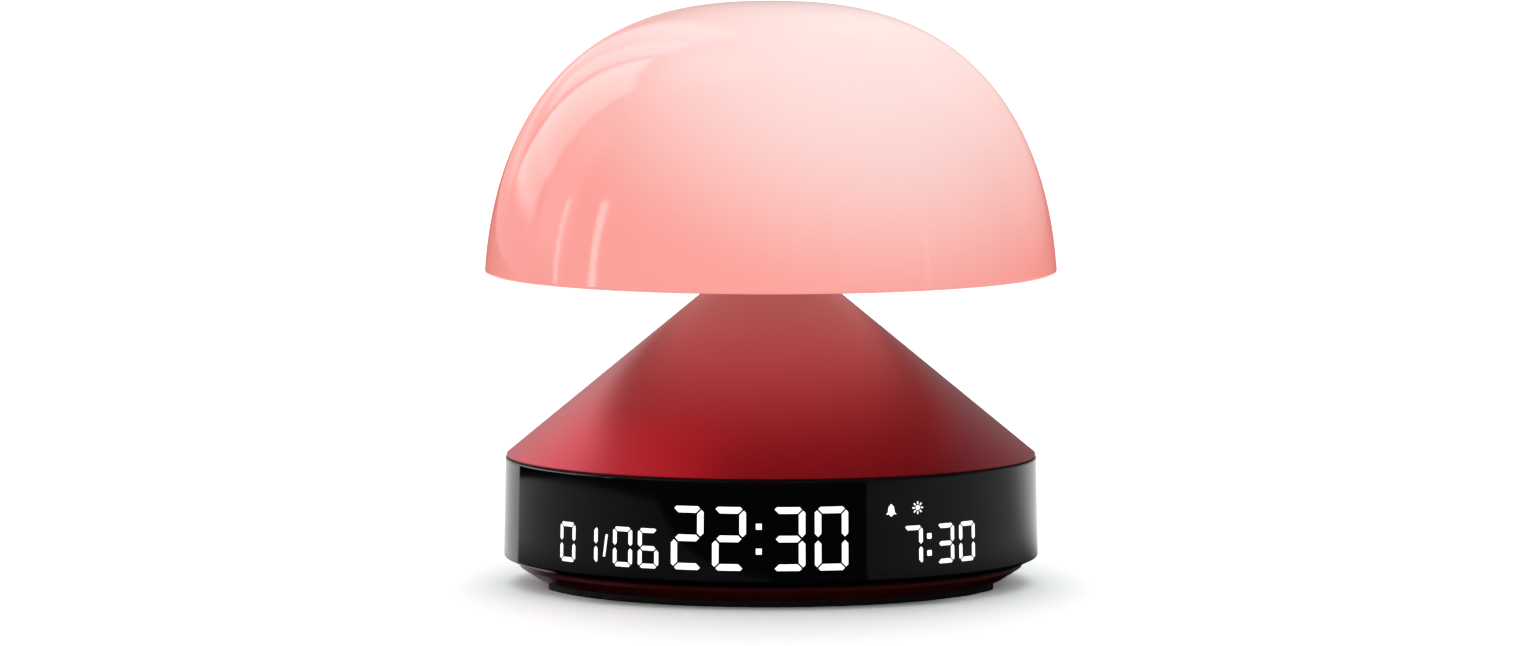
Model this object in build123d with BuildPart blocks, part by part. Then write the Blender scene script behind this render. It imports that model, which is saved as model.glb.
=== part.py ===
"""Sunrise alarm clock: a dome lamp on a metal cone that stands on a round clock base.

Millimetres, +Z up. The origin is the centre of the rubber feet's underside.
The display faces -Y, and +X is on the right of someone who reads it.
The shade and what it carries press down on the neck, and the five rear keys press in.
"""
from build123d import *
from math import cos, radians, sin, sqrt, tan
import os

os.makedirs("parts", exist_ok=True)

# ---- Clearances ------------------------------------------------------------------
seat_gap = 0.1          # between fixed pieces that slip together
run_gap = 0.3           # round a moving piece
slide_fit = 0.08        # radial play of the lamp head's guide bore
screw_play = 0.3        # radial play of a screw's shank in its clearance hole

# ---- Foot and base cover ---------------------------------------------------------
foot_h = 1.5
foot_r = 53.4
foot_w = 12.8
foot_opening = 38.6     # degrees between the front foot and the rear one, at each side
cover_floor = 2.5       # thickness of the cover's flat floor
cover_rise = 3.2        # height of the cover's edge between foot and band
cover_lip_h = 0.7       # the upright top of that edge; the rest of it slopes in
cover_rim_h = 0.7       # upstand inside the band's foot, which lifts the band
cover_rim_w = 3.8

# ---- Display band ----------------------------------------------------------------
band_h = 24.15
band_top_r = 60.5
band_low_r = 60.94      # the wall is drafted: wider at its foot
band_lip_r = 57.4       # where the band's tucked-in foot meets the cover
band_lip_h = 1.7        # height of that foot
band_foot_fillet = 0.5
band_top_fillet = 0.3
band_wall = 2.2
band_shelf_in = 2.9     # how far the shelf inside the band's foot reaches inwards
band_shelf_h = 1.6

# ---- Chassis ---------------------------------------------------------------------
shadow_gap = 0.35       # dark line between band and cone
chassis_plate = 2.6
chassis_bore_r = 34.0
chassis_lip_inset = 0.8  # the lip in the shadow gap stays this far inside the band
post_r = 3.5
post_circle_r = 44.5
post_count = 4
post_start = 45.0

# ---- Cone housing and neck -------------------------------------------------------
cone_base_inset = 0.2   # the cone's lower edge is this much smaller than the band's top
cone_skirt_h = 0.3
cone_h = 39.8           # from the skirt to the neck
cone_wall = 1.6
cone_edge_fillet = 0.12
neck_fillet = 1.2
neck_r = 12.0
neck_h = 2.3
neck_top_wall = 2.0
boss_r = 3.0
boss_circle_r = 48.0
boss_count = 3
boss_start = 0.0
spigot_r = 8.0
spigot_wall = 1.6
spigot_flange_r = 10.2
spigot_flange_h = 2.0
spigot_tail = 5.0
nut_r = 11.2            # across the corners
nut_h = 1.6

# ---- Lamp head -------------------------------------------------------------------
head_travel = 1.0       # how far the shade presses down
head_spare = 0.4        # tray above the neck with the shade pressed right down
shade_r = 65.16         # outside, at the rim
shade_h = 61.51         # from rim to crown
shade_wall = 2.2
shade_lean = 3.7        # degrees by which the wall leans in at the rim
wall_fullness = 0.593   # how far up the wall runs on before it turns, in shade heights
shoulder_fullness = 0.695  # how far out the crown's pull starts, in shade radii
crown_fullness = 0.238  # how far out the crown is nearly flat, in shade radii
rim_fillet = 0.6
rebate_wall = 1.8       # shade wall left round the tray
tray_rise = 2.0         # underside of the tray above the rim
tray_h = 2.0
hub_r = 14.0
hub_h = 13.0
guide_h = 4.0           # length of the guide bore at the hub's top
spring_bore_r = 11.6
spring_wire = 0.9
spring_r = 9.8
spring_turns = 5
ring_h = 1.0
ring_r = 10.4
groove_depth = 0.6
ring_opening = 50.0     # degrees left open in the retaining ring
spigot_head = 2.0       # spigot above the retaining ring
post_led_r = 1.5
post_led_circle_r = 12.4
post_led_h = 7.5
led_board_r = 24.0
led_board_h = 1.6
led_count = 8
led_circle_r = 17.5
led_size = 5.0
led_h = 1.6
sensor_board_r = 7.6
sensor_board_h = 1.0
sensor_chip = (3.0, 1.6, 0.6)
magnet_r = 2.5
magnet_h = 1.5

# ---- Display characters ----------------------------------------------------------
time_h = 14.2           # standard height of a large light-emitting digit
time_w = 7.6
time_stroke = 1.45
small_h = 8.9
small_w = 5.15
small_stroke = 1.0
time_drop = 0.68        # row centres below the middle of the display
date_drop = 3.4
alarm_drop = 3.05
time_angles = (-17.9, -8.85, 3.65, 12.85)   # degrees round the band from the front
date_angles = (-48.55, -42.05, -33.05, -26.8)
alarm_angles = (25.1, 31.5, 40.0, 46.35)
time_text = "2230"
date_text = "0106"
alarm_text = " 730"
time_colon_angle = -2.55
time_colon_spread = 5.56
time_dot = 1.3
alarm_colon_angle = 35.62
alarm_colon_spread = 3.81
alarm_dot = 1.25
slash_angle = -37.5
slash_h = 5.0
slash_w = 0.62
slash_lean = 0.72
bell_angle = 26.25
bell_drop = 0.52        # below the line of the icons
bell_w = 2.65
bell_h = 2.67
sun_angle = 32.7
sun_drop = 0.22         # below it too
sun_size = 2.84
sun_rays = 8
icon_cell = 3.4

# ---- Display module behind the band ----------------------------------------------
display_from = -54.0
display_to = 51.5
chamber_depth = 5.1
flex_h = 0.4
segment_led = (0.9, 1.4, 0.7)
cell_margin = 0.6       # height of a light cell above its character's

# ---- Rear keys and power socket --------------------------------------------------
key_r = 3.0
key_pitch = 13.0
key_proud = 0.9         # beyond the top of the band's wall
key_flange = 0.7        # width of the flange that keeps a key in
key_flange_h = 0.8
key_travel = 0.6
key_pill_r = 2.0
key_pill_spare = 0.05   # left under a key's contact pill when it is pressed
key_mat_h = 0.7
key_board_h = 1.6
key_board_w = 40.0
socket_w = 8.94         # standard shell of a USB-C receptacle
socket_h = 3.26
socket_wall = 0.3
socket_recess = 0.8     # mouth behind the band's surface
socket_play = 0.25
tongue_w = 6.7
tongue_h = 0.7

# ---- Underside: battery hatch and speaker ----------------------------------------
hatch_x = -20.0
hatch_y = -4.0
cell_r = 10.0           # CR2032 coin cell
cell_h = 3.2
hatch_r = 12.8
hatch_h = 1.7
hatch_lug_out = 1.3
hatch_lug_h = 0.8
hatch_lug_angle = 24.0
hatch_twist = 40.0
coin_slot = (11.0, 1.8, 0.8)
well_wall = 1.5
well_roof = 1.2
contact_h = 0.3
contact_w = 5.0
speaker_x = 15.0
speaker_y = -6.0
speaker_r = 15.0
speaker_h = 6.0
speaker_rim = 1.4
speaker_basket = 0.8
magnet_speaker_r = 8.0
magnet_speaker_h = 3.6
grille_hole_r = 0.9
grille_pitch = 3.6
grille_rings = 3

# ---- Main board ------------------------------------------------------------------
board_r = 40.0
board_h = 1.6
pillar_r = 3.0
pillar_circle_r = 36.5
pillar_count = 3
pillar_start = 90.0
chip = (9.0, 9.0, 1.1)
capacitor_r = 3.15
capacitor_h = 7.0
connector = (7.4, 4.8, 5.0)
wire_r = 0.6
wire_bend = 9.0
ribbon_h = 0.3
ribbon_w = 6.0
ribbon_bend = 1.2
ribbon_rise = 1.8       # run of the ribbons above the connectors
ribbon_low = 4.0        # their lower ends above the band's shelf

# ---- Screws ----------------------------------------------------------------------
screw_r = 1.1
screw_head_r = 2.3
screw_head_h = 1.5
pilot_play = 0.1
cover_screw_len = 9.0
cone_screw_len = 7.5
board_screw_len = 5.0
led_screw_r = 0.7
led_screw_head_r = 1.3
led_screw_head_h = 0.9
led_screw_len = 4.0

# ---- Heights that follow from the sizes above ------------------------------------
cover_z = foot_h
floor_z = cover_z + cover_floor
band_z = cover_z + cover_rise
shelf_z = band_z + cover_rim_h
shelf_top = shelf_z + band_shelf_h
band_top = band_z + band_h
cone_z = band_top + shadow_gap
plate_z = cone_z - chassis_plate
slope_z = cone_z + cone_skirt_h
neck_z = slope_z + cone_h
neck_top = neck_z + neck_h
tray_z = neck_top + head_travel + head_spare
tray_top = tray_z + tray_h
rim_z = tray_z - tray_rise
hub_top = tray_top + hub_h
guide_z = hub_top - guide_h
spring_z = neck_top + nut_h
ring_top = hub_top + ring_h
spigot_top = ring_top + spigot_head
led_board_z = hub_top + post_led_h
led_board_top = led_board_z + led_board_h
connector_top = plate_z - run_gap - ribbon_rise
main_board_top = connector_top - connector[2]
main_board_z = main_board_top - board_h

band_in_r = band_top_r - band_wall
cone_r = band_top_r - cone_base_inset
cone_slope = (cone_r - neck_r) / cone_h
cone_wall_run = cone_wall * sqrt(1 + cone_slope**2)
cone_in_r = cone_r - cone_wall_run
spigot_seat = neck_top - neck_top_wall
spigot_bore_r = spigot_r - spigot_wall
tray_r = shade_r - rebate_wall - seat_gap
chamber_r = band_in_r - seat_gap - chamber_depth
flex_r = chamber_r - seat_gap
key_flange_r = key_r + key_flange
key_high = plate_z - run_gap - key_flange_r
key_low = (shelf_top + key_high - key_flange_r) / 2
key_flange_y = sqrt(band_in_r**2 - (key_pitch + key_flange_r) ** 2) - seat_gap
key_board_y = key_flange_y - key_flange_h - key_travel - seat_gap - key_mat_h
cell_z = cover_z + hatch_h + seat_gap


def label_and_write(part, name):
    """Name a finished piece and write it to its own file."""
    part.label = name
    export_step(part, f"parts/{name}.step")


def band_plane(angle, z, radius=band_top_r):
    """Plane that touches the band at an angle from the front, looking outwards."""
    a = radians(angle)
    out = (sin(a), -cos(a), 0)
    return Plane(origin=(radius * out[0], radius * out[1], z), x_dir=(cos(a), sin(a), 0), z_dir=out)


def radial_plane(angle):
    """Upright plane through the axis, with its X pointing out at an angle from the front."""
    a = radians(angle)
    return Plane(origin=(0, 0, 0), x_dir=(sin(a), -cos(a), 0), z_dir=(-cos(a), -sin(a), 0))


def rear_plane(x, y, z):
    """Plane at the back of the clock that looks along +Y."""
    return Plane(origin=(x, y, z), x_dir=(-1, 0, 0), z_dir=(0, 1, 0))


def ring_places(radius, count, start):
    """Points evenly spaced on a circle."""
    angles = [radians(start + 360 * i / count) for i in range(count)]
    return [(radius * cos(a), radius * sin(a)) for a in angles]


def screws(places, seat_z, length, up, shank_r=screw_r, head_r=screw_head_r, head_h=screw_head_h):
    """Pan-head screws whose heads bear on seat_z, pointing up (1) or down (-1)."""
    with BuildPart() as group:
        with BuildSketch(Plane.XY.offset(seat_z)):
            with Locations(*places):
                Circle(shank_r)
        extrude(amount=up * length)
        with BuildSketch(Plane.XY.offset(seat_z)):
            with Locations(*places):
                Circle(head_r)
        extrude(amount=-up * head_h)
        with BuildSketch(Plane.XY.offset(seat_z - up * head_h)):
            with Locations(*places):
                Rectangle(head_r, head_r / 4)
                Rectangle(head_r / 4, head_r)
        extrude(amount=up * head_h / 2, mode=Mode.SUBTRACT)
    return group.part


# ---- Characters: seven mitred strokes in a box -----------------------------------
strokes_of = {
    "0": "abcdef",
    "1": "bc",
    "2": "abged",
    "3": "abgcd",
    "6": "acdefg",
    "7": "abc",
    " ": "",
}


def stroke_outline(name, width, height, stroke):
    """Six corners of one stroke, with 45-degree ends that leave a gap at each mitre."""
    corner = stroke * 0.34
    middle = stroke / 2
    corner_start = corner + stroke * 0.2
    waist = stroke * 0.29
    side_len = height / 2 - corner_start - waist
    bar_len = width - 2 * corner_start
    waist_inset = stroke * 0.7
    half_w = width / 2
    half_h = height / 2
    # start of the outer edge, direction along it, direction outwards, length, end depths
    layout = {
        "a": ((-half_w + corner_start, half_h), (1, 0), (0, 1), bar_len, corner, corner),
        "d": ((-half_w + corner_start, -half_h), (1, 0), (0, -1), bar_len, corner, corner),
        "b": ((half_w, half_h - corner_start), (0, -1), (1, 0), side_len, corner, middle),
        "c": ((half_w, -half_h + corner_start), (0, 1), (1, 0), side_len, corner, middle),
        "f": ((-half_w, half_h - corner_start), (0, -1), (-1, 0), side_len, corner, middle),
        "e": ((-half_w, -half_h + corner_start), (0, 1), (-1, 0), side_len, corner, middle),
        "g": ((-half_w + waist_inset, middle), (1, 0), (0, 1), width - 2 * waist_inset, middle, middle),
    }
    start, along, out, length, first, last = layout[name]
    ends = [
        (0, first),
        (first, 0),
        (length - last, 0),
        (length, last),
        (length - (stroke - last), stroke),
        (stroke - first, stroke),
    ]
    return [
        (start[0] + along[0] * a - out[0] * d, start[1] + along[1] * a - out[1] * d)
        for a, d in ends
    ]


def stroke_centre(name, width, height, stroke):
    """Middle of a stroke in its character's box."""
    corners = stroke_outline(name, width, height, stroke)
    return (sum(c[0] for c in corners) / 6, sum(c[1] for c in corners) / 6)


def character_strokes(angle, z, names, width, height, stroke):
    """Prisms of the named strokes, right through the band's wall."""
    for name in names:
        with BuildSketch(band_plane(angle, z)) as outline:
            with BuildLine():
                Polyline(*stroke_outline(name, width, height, stroke), close=True)
            make_face()
        extrude(outline.sketch, amount=band_wall * 2, both=True)


def bell(plane, width, height):
    """A bell seen from the side: domed body with a knob, flared brim and a clapper under it."""
    brim = -height * 0.33
    crown = height * 0.44
    waist = (width * 0.33, brim / 2)
    shoulder = (width * 0.27, height * 0.16)
    with BuildSketch(plane) as outline:
        with BuildLine():
            Polyline((-shoulder[0], shoulder[1]), (-waist[0], waist[1]), (-width / 2, brim))
            Polyline((-width / 2, brim), (width / 2, brim), waist, shoulder)
            ThreePointArc(shoulder, (0, crown), (-shoulder[0], shoulder[1]))
        make_face()
        with Locations((0, brim)):
            Circle(height * 0.17)
        with Locations((0, crown)):
            Circle(height * 0.09)
    return outline.sketch


def sun(plane, size):
    """A disc with short rays round it."""
    disc_r = size * 0.2
    ray_from = size * 0.29
    ray_len = size / 2 - ray_from
    with BuildSketch(plane) as outline:
        Circle(disc_r)
        with PolarLocations(ray_from + ray_len / 2, sun_rays):
            Rectangle(ray_len, size * 0.12)
    return outline.sketch


def unlit(text):
    """Strokes of a character that stay dark."""
    return "".join(s for s in "abcdefg" if s not in strokes_of[text])


display_mid = (shelf_top + plate_z) / 2
time_z = display_mid - time_drop
date_z = display_mid - date_drop
alarm_z = display_mid - alarm_drop
icon_z = (alarm_z + small_h / 2 + plate_z) / 2
bell_z = icon_z - bell_drop
sun_z = icon_z - sun_drop
displays = {
    "time": (time_angles, time_text, time_z, time_w, time_h, time_stroke),
    "date": (date_angles, date_text, date_z, small_w, small_h, small_stroke),
    "alarm": (alarm_angles, alarm_text, alarm_z, small_w, small_h, small_stroke),
}

# ---- Display band ----------------------------------------------------------------
with BuildPart() as band_blank:
    with BuildSketch(Plane.XZ) as section:
        with BuildLine():
            Polyline(
                (band_lip_r, band_z),
                (band_low_r, band_z + band_lip_h),
                (band_top_r, band_top),
                (band_in_r, band_top),
                (band_in_r, shelf_top),
                (band_in_r - band_shelf_in, shelf_top),
                (band_in_r - band_shelf_in, shelf_z),
                (band_lip_r, shelf_z),
                close=True,
            )
        make_face()
        outer = section.vertices().sort_by(Axis.X)
        fillet(outer[-1], radius=band_foot_fillet)
        fillet(section.vertices().group_by(Axis.Y)[-1].sort_by(Axis.X)[-1], radius=band_top_fillet)
    revolve(axis=Axis.Z)

segment_nodes = {}
for group, (angles, text, z, width, height, stroke) in displays.items():
    with BuildPart() as lit:
        for angle, char in zip(angles, text):
            character_strokes(angle, z, strokes_of[char], width, height, stroke)
        if group == "time":
            with BuildSketch(band_plane(time_colon_angle, z)):
                with Locations((0, time_colon_spread / 2), (0, -time_colon_spread / 2)):
                    Rectangle(time_dot, time_dot)
            extrude(amount=band_wall * 2, both=True)
        if group == "alarm":
            with BuildSketch(band_plane(alarm_colon_angle, z)):
                with Locations((0, alarm_colon_spread / 2), (0, -alarm_colon_spread / 2)):
                    RectangleRounded(alarm_dot, alarm_dot, alarm_dot / 5)
            extrude(amount=band_wall * 2, both=True)
        if group == "date":
            with BuildSketch(band_plane(slash_angle, z)):
                with BuildLine():
                    Polyline(
                        (-slash_lean / 2 - slash_w / 2, -slash_h / 2),
                        (-slash_lean / 2 + slash_w / 2, -slash_h / 2),
                        (slash_lean / 2 + slash_w / 2, slash_h / 2),
                        (slash_lean / 2 - slash_w / 2, slash_h / 2),
                        close=True,
                    )
                make_face()
            extrude(amount=band_wall * 2, both=True)
        add(band_blank.part, mode=Mode.INTERSECT)
    with BuildPart() as dark:
        for angle, char in zip(angles, text):
            character_strokes(angle, z, unlit(char), width, height, stroke)
        add(band_blank.part, mode=Mode.INTERSECT)
    segment_nodes[f"{group}_segments_lit"] = lit.part
    segment_nodes[f"{group}_segments_dark"] = dark.part

with BuildPart() as alarm_icons:
    extrude(bell(band_plane(bell_angle, bell_z), bell_w, bell_h), amount=band_wall * 2, both=True)
    extrude(sun(band_plane(sun_angle, sun_z), sun_size), amount=band_wall * 2, both=True)
    add(band_blank.part, mode=Mode.INTERSECT)
segment_nodes["alarm_icons"] = alarm_icons.part

key_places = {
    "time_key": (-key_pitch, key_high),
    "light_key": (0.0, key_high),
    "alarm_key": (key_pitch, key_high),
    "minus_key": (key_pitch, key_low),
    "plus_key": (-key_pitch, key_low),
}

with BuildPart() as display_band:
    add(band_blank.part)
    for segments in segment_nodes.values():
        add(segments, mode=Mode.SUBTRACT)
    for x, z in key_places.values():
        with BuildSketch(rear_plane(x, band_in_r / 2, z)):
            Circle(key_r + run_gap)
        extrude(amount=band_low_r, mode=Mode.SUBTRACT)
    with BuildSketch(rear_plane(0, band_in_r / 2, key_low)):
        mouth_h = socket_h + 2 * socket_play
        RectangleRounded(socket_w + 2 * socket_play, mouth_h, mouth_h / 2.2)
    extrude(amount=band_low_r, mode=Mode.SUBTRACT)
label_and_write(display_band.part, "display_band")
for name, segments in segment_nodes.items():
    label_and_write(segments, name)

# ---- Light chamber, flexible board and lights behind the characters ----------------
with BuildPart() as light_chamber:
    with BuildSketch(radial_plane(display_from)):
        with Locations((chamber_r + chamber_depth / 2, (shelf_top + plate_z) / 2)):
            Rectangle(chamber_depth, plate_z - shelf_top)
    revolve(axis=Axis.Z, revolution_arc=display_to - display_from)
    for angles, text, z, width, height, stroke in displays.values():
        for angle in angles:
            with BuildSketch(band_plane(angle, z, chamber_r)):
                Rectangle(width, height + cell_margin)
            extrude(amount=2 * chamber_depth, both=True, mode=Mode.SUBTRACT)
    for angle, z, width, height in (
        (time_colon_angle, time_z, time_dot * 1.5, time_colon_spread + 2 * time_dot),
        (alarm_colon_angle, alarm_z, alarm_dot * 1.3, alarm_colon_spread + 2 * alarm_dot),
        (slash_angle, date_z, slash_lean + 2 * slash_w, slash_h + 1),
        (bell_angle, bell_z, icon_cell, icon_cell),
        (sun_angle, sun_z, icon_cell, icon_cell),
    ):
        with BuildSketch(band_plane(angle, z, chamber_r)):
            Rectangle(width, height)
        extrude(amount=2 * chamber_depth, both=True, mode=Mode.SUBTRACT)
label_and_write(light_chamber.part, "light_chamber")

with BuildPart() as display_flex:
    with BuildSketch(radial_plane(display_from)):
        with Locations((flex_r - flex_h / 2, (shelf_top + plate_z) / 2)):
            Rectangle(flex_h, plate_z - shelf_top)
    revolve(axis=Axis.Z, revolution_arc=display_to - display_from)
label_and_write(display_flex.part, "display_flex")

with BuildPart() as display_lights:
    led_w, led_tall, led_deep = segment_led
    light_seat = flex_r + seat_gap / 5
    for angles, text, z, width, height, stroke in displays.values():
        for angle in angles:
            with BuildSketch(band_plane(angle, z, light_seat)):
                with Locations(*[stroke_centre(n, width, height, stroke) for n in "abcdefg"]):
                    Rectangle(led_w, led_tall)
            extrude(amount=led_deep)
    for angle, z, spread in (
        (time_colon_angle, time_z, time_colon_spread),
        (alarm_colon_angle, alarm_z, alarm_colon_spread),
    ):
        with BuildSketch(band_plane(angle, z, light_seat)):
            with Locations((0, spread / 2), (0, -spread / 2)):
                Rectangle(led_w, led_tall)
        extrude(amount=led_deep)
    for angle, z in (
        (slash_angle, date_z),
        (bell_angle, bell_z),
        (sun_angle, sun_z),
    ):
        with BuildSketch(band_plane(angle, z, light_seat)):
            Rectangle(led_w, led_tall)
        extrude(amount=led_deep)
label_and_write(display_lights.part, "display_lights")

# ---- Rear keys, their mat and board, and the power socket ---------------------------
key_pill_y = key_board_y + key_travel + key_pill_spare
key_board_low = shelf_top + seat_gap
key_area_z = (key_low + key_high) / 2
key_area_h = key_high - key_low + 2 * key_flange_r

with BuildPart() as key_mat:
    with BuildSketch(rear_plane(0, key_board_y, key_area_z)):
        Rectangle(key_board_w - 2, key_area_h)
        with Locations(*[(-x, z - key_area_z) for x, z in key_places.values()]):
            Circle(key_pill_r + run_gap, mode=Mode.SUBTRACT)
        with Locations((0, key_low - key_area_z)):
            Rectangle(socket_w + 2 * socket_play, socket_h + 2 * socket_play, mode=Mode.SUBTRACT)
    extrude(amount=key_mat_h)
label_and_write(key_mat.part, "key_mat")

with BuildPart() as key_board:
    with BuildSketch(rear_plane(0, key_board_y, (key_board_low + plate_z) / 2)):
        Rectangle(key_board_w, plate_z - key_board_low)
    extrude(amount=-key_board_h)
label_and_write(key_board.part, "key_board")

key_marks = {
    "time_key": lambda plane: clock_mark(plane, key_r * 1.1),
    "light_key": lambda plane: sun(plane, key_r * 1.2),
    "alarm_key": lambda plane: bell(plane, key_r, key_r),
    "minus_key": lambda plane: cross_mark(plane, key_r * 1.1, 1),
    "plus_key": lambda plane: cross_mark(plane, key_r * 1.1, 2),
}


def cross_mark(plane, size, arms):
    """A minus sign, or a plus sign with a second arm."""
    with BuildSketch(plane) as outline:
        Rectangle(size, size * 0.18)
        if arms == 2:
            Rectangle(size * 0.18, size)
    return outline.sketch


def clock_mark(plane, size):
    """A small dial with two hands."""
    line = size * 0.14
    with BuildSketch(plane) as outline:
        Circle(size / 2)
        Circle(size / 2 - line, mode=Mode.SUBTRACT)
        with Locations((0, size * 0.12)):
            Rectangle(line, size * 0.3)
        with Locations((size * 0.1, 0)):
            Rectangle(size * 0.3, line)
    return outline.sketch


key_mark_depth = 0.25
key_cap_r = band_top_r + key_proud
for name, (x, z) in key_places.items():
    with BuildPart() as key:
        with BuildSketch(rear_plane(x, key_flange_y, z)):
            Circle(key_r)
        extrude(amount=key_cap_r)
        with BuildSketch(Plane.XY.offset(z - 2 * key_r)):
            Circle(key_cap_r)
        extrude(amount=4 * key_r, mode=Mode.INTERSECT)
        fillet(key.edges().sort_by(Axis.Y)[-1], radius=key_r / 8)
        cap_y = sqrt((key_cap_r - key_mark_depth) ** 2 - x**2)
        extrude(key_marks[name](rear_plane(x, cap_y, z)), amount=key_r, mode=Mode.SUBTRACT)
        with BuildSketch(rear_plane(x, key_flange_y, z)):
            Circle(key_flange_r)
        extrude(amount=-key_flange_h)
        with BuildSketch(rear_plane(x, key_pill_y, z)):
            Circle(key_pill_r)
        extrude(amount=key_flange_y - key_flange_h - key_pill_y)
    label_and_write(key.part, name)

socket_len = band_top_r - socket_recess - key_board_y
with BuildPart() as usb_socket:
    with BuildSketch(rear_plane(0, key_board_y, key_low)):
        RectangleRounded(socket_w, socket_h, socket_h / 2.2)
    extrude(amount=socket_len)
    with BuildSketch(rear_plane(0, key_board_y + socket_wall, key_low)):
        bore_h = socket_h - 2 * socket_wall
        RectangleRounded(socket_w - 2 * socket_wall, bore_h, bore_h / 2.2)
    extrude(amount=socket_len, mode=Mode.SUBTRACT)
label_and_write(usb_socket.part, "usb_socket")

with BuildPart() as usb_tongue:
    with BuildSketch(rear_plane(0, key_board_y + socket_wall, key_low)):
        Rectangle(tongue_w, tongue_h)
    extrude(amount=socket_len - socket_wall - socket_recess)
label_and_write(usb_tongue.part, "usb_tongue")

# ---- Chassis: the ring that carries the cone, the band and the boards ---------------
post_places = ring_places(post_circle_r, post_count, post_start)
boss_places = ring_places(boss_circle_r, boss_count, boss_start)
pilot_r = screw_r + pilot_play
clear_r = screw_r + screw_play
rail_w = 3.0
rail_depth = 2.8
rail_x = key_board_w / 2 + seat_gap + rail_w / 2

with BuildPart() as chassis:
    with BuildSketch(Plane.XZ):
        with BuildLine():
            lip_r = band_top_r - chassis_lip_inset
            Polyline(
                (chassis_bore_r, plate_z),
                (band_in_r - seat_gap, plate_z),
                (band_in_r - seat_gap, band_top),
                (lip_r, band_top),
                (lip_r, cone_z),
                (chassis_bore_r, cone_z),
                close=True,
            )
        make_face()
    revolve(axis=Axis.Z)
    with BuildSketch(Plane.XY.offset(floor_z)):
        with Locations(*post_places):
            Circle(post_r)
    extrude(amount=plate_z - floor_z)
    with BuildSketch(Plane.XY.offset(plate_z)):
        with Locations((rail_x, key_board_y - key_board_h), (-rail_x, key_board_y - key_board_h)):
            Rectangle(rail_w, rail_depth)
    extrude(amount=shelf_top + 1 - plate_z)
    with BuildSketch(Plane.XY.offset(floor_z)):
        with Locations(*post_places):
            Circle(pilot_r)
    extrude(amount=cover_screw_len, mode=Mode.SUBTRACT)
    with BuildSketch(Plane.XY.offset(plate_z)):
        with Locations(*boss_places):
            Circle(clear_r)
    extrude(amount=chassis_plate, mode=Mode.SUBTRACT)
label_and_write(chassis.part, "chassis")

# ---- Cone housing --------------------------------------------------------------------
with BuildPart() as cone_housing:
    with BuildSketch(Plane.XY.offset(cone_z)):
        with Locations(*boss_places):
            Circle(boss_r)
    extrude(amount=cone_h)
    with BuildSketch(Plane.XZ):
        with BuildLine():
            mid_wall_r = cone_r - cone_wall_run / 2
            Polyline(
                (0, cone_z),
                (mid_wall_r, cone_z),
                (mid_wall_r, slope_z),
                (0, slope_z + mid_wall_r / cone_slope),
                close=True,
            )
        make_face()
    revolve(axis=Axis.Z, mode=Mode.INTERSECT)
    with BuildSketch(Plane.XY.offset(cone_z)):
        with Locations(*boss_places):
            Circle(pilot_r)
    extrude(amount=cone_screw_len - chassis_plate + 1, mode=Mode.SUBTRACT)
    with BuildSketch(Plane.XZ) as section:
        spigot_pocket_r = spigot_flange_r + seat_gap
        pocket_z = slope_z + (cone_in_r - spigot_pocket_r) / cone_slope
        with BuildLine():
            Polyline(
                (cone_in_r, cone_z),
                (cone_r, cone_z),
                (cone_r, slope_z),
                (neck_r, neck_z),
                (neck_r, neck_top),
                (spigot_r + seat_gap, neck_top),
                (spigot_r + seat_gap, spigot_seat),
                (spigot_pocket_r, spigot_seat),
                (spigot_pocket_r, min(pocket_z, spigot_seat - spigot_flange_h)),
                (cone_in_r, slope_z),
                close=True,
            )
        make_face()
        corners = section.vertices()
        fillet(corners.sort_by_distance((cone_r, cone_z))[0], radius=cone_edge_fillet)
        fillet(corners.sort_by_distance((neck_r, neck_z))[0], radius=neck_fillet)
        fillet(corners.sort_by_distance((neck_r, neck_top))[0], radius=cone_edge_fillet)
    revolve(axis=Axis.Z)
label_and_write(cone_housing.part, "cone_housing")
label_and_write(screws(boss_places, plate_z, cone_screw_len, 1), "cone_screws")

# ---- Neck: spigot, nut, return spring, retaining ring and press sensor ---------------
with BuildPart() as neck_spigot:
    with BuildSketch(Plane.XZ):
        with BuildLine():
            Polyline(
                (spigot_bore_r, spigot_seat - spigot_tail),
                (spigot_r, spigot_seat - spigot_tail),
                (spigot_r, spigot_seat - spigot_flange_h),
                (spigot_flange_r, spigot_seat - spigot_flange_h),
                (spigot_flange_r, spigot_seat),
                (spigot_r, spigot_seat),
                (spigot_r, hub_top),
                (spigot_r - groove_depth, hub_top),
                (spigot_r - groove_depth, ring_top),
                (spigot_r, ring_top),
                (spigot_r, spigot_top),
                (spigot_bore_r, spigot_top),
                close=True,
            )
        make_face()
    revolve(axis=Axis.Z)
label_and_write(neck_spigot.part, "neck_spigot")

with BuildPart() as neck_nut:
    with BuildSketch(Plane.XY.offset(neck_top)):
        RegularPolygon(nut_r, 6)
        Circle(spigot_r + seat_gap, mode=Mode.SUBTRACT)
    extrude(amount=nut_h)
label_and_write(neck_nut.part, "neck_nut")

coil_start = spring_z + spring_wire / 2
coil_h = guide_z - spring_z - spring_wire - seat_gap
with BuildPart() as return_spring:
    with BuildLine() as coil:
        Helix(pitch=coil_h / spring_turns, height=coil_h, radius=spring_r, center=(0, 0, coil_start))
    with BuildSketch(Plane(origin=coil.line @ 0, z_dir=coil.line % 0)):
        Circle(spring_wire / 2)
    sweep(is_frenet=True)
label_and_write(return_spring.part, "return_spring")

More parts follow.
